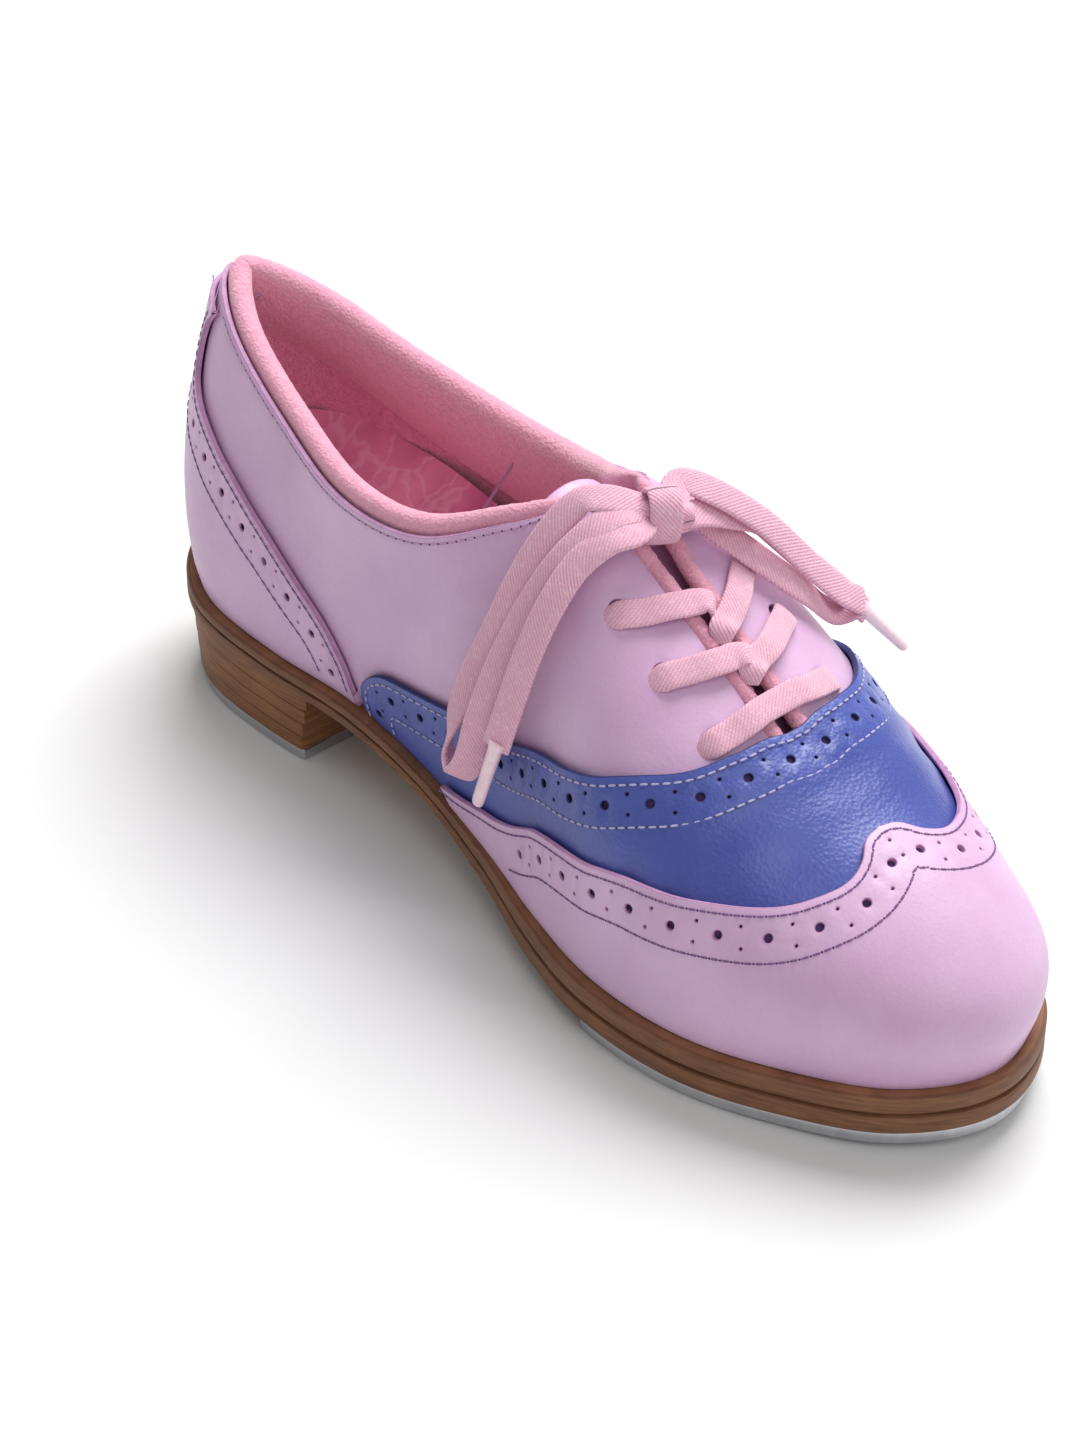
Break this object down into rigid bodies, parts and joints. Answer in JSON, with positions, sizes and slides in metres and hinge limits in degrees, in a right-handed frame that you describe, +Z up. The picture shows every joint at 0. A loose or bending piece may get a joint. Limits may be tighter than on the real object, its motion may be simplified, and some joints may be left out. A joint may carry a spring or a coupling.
{
  "type": "tap shoe",
  "caption": "Lace-up tap shoe for the left foot with a perforated two-tone leather upper, a terry lined collar, a leather sole with a stacked heel and steel tap plates.",
  "frame": {"origin": "on the floor under the middle of the shoe's box, leaving out the free laces", "axes": "+X to the toe, +Y to the outer side of the foot, +Z up"},
  "size_m": [0.2582, 0.0968, 0.1058],
  "materials": {
    "lilac_leather": "satin",
    "blue_leather": "semi-gloss",
    "pink_terry": "terry pile",
    "marbled_cloth": "printed cloth",
    "lace_cotton": "woven",
    "sole_leather": "burnished",
    "fibre_board": "matt",
    "foam": "matt foam",
    "steel": "bright",
    "aglet_plastic": "gloss"
  },
  "bodies": {
    "rear": {"quarter_medial": "lilac_leather", "quarter_lateral": "lilac_leather", "vamp": "blue_leather", "toe_cap": "lilac_leather", "heel_counter": "lilac_leather", "heel_stiffener": "fibre_board", "lining": "pink_terry", "collar_roll": "pink_terry", "facing_binding_medial": "pink_terry", "facing_binding_lateral": "pink_terry", "tongue": "lilac_leather", "outsole": "sole_leather", "midsole": "sole_leather", "cork_filler": "fibre_board", "insole_board": "fibre_board", "shank": "steel", "footbed": "foam", "sock_liner": "marbled_cloth", "heel_lift_1": "sole_leather", "heel_lift_2": "sole_leather", "heel_lift_3": "sole_leather", "heel_lift_4": "sole_leather", "heel_tap_screw_1": "steel", "heel_tap_screw_2": "steel", "heel_tap_screw_3": "steel", "heel_tap": "steel", "lace_bar": "lace_cotton", "lace_strap_medial_2": "lace_cotton", "lace_strap_lateral_2": "lace_cotton", "lace_strap_medial_3": "lace_cotton", "lace_strap_lateral_3": "lace_cotton", "lace_knot": "lace_cotton", "lace_strand_medial": "lace_cotton", "lace_strand_lateral": "lace_cotton", "bow_loop_medial": "lace_cotton", "lace_end_medial": "lace_cotton", "bow_loop_lateral": "lace_cotton", "lace_end_lateral": "lace_cotton", "aglet_medial": "aglet_plastic", "aglet_lateral": "aglet_plastic"},
    "forefoot": {"toe_tap": "steel", "toe_tap_screw_1": "steel", "toe_tap_screw_2": "steel", "toe_tap_screw_3": "steel", "toe_puff": "fibre_board"}
  },
  "joints": [
    {"name": "toe_flex", "type": "hinge", "parent": "rear", "child": "forefoot", "pos_m": [0.0242, -0.0013, 0.012], "axis": [0, -1, 0], "range_deg": [0, 15], "stiffness_Nm_per_rad": 8, "deforming": ["quarter_medial", "quarter_lateral", "vamp", "toe_cap", "lining", "collar_roll", "facing_binding_medial", "facing_binding_lateral", "tongue", "outsole", "midsole", "cork_filler", "insole_board", "shank", "footbed", "sock_liner", "lace_bar", "lace_strap_medial_2", "lace_strap_lateral_2", "lace_strap_medial_3", "lace_strap_lateral_3", "lace_knot", "lace_strand_medial", "lace_strand_lateral", "bow_loop_medial", "lace_end_medial", "bow_loop_lateral", "lace_end_lateral", "aglet_medial", "aglet_lateral"]}
  ]
}
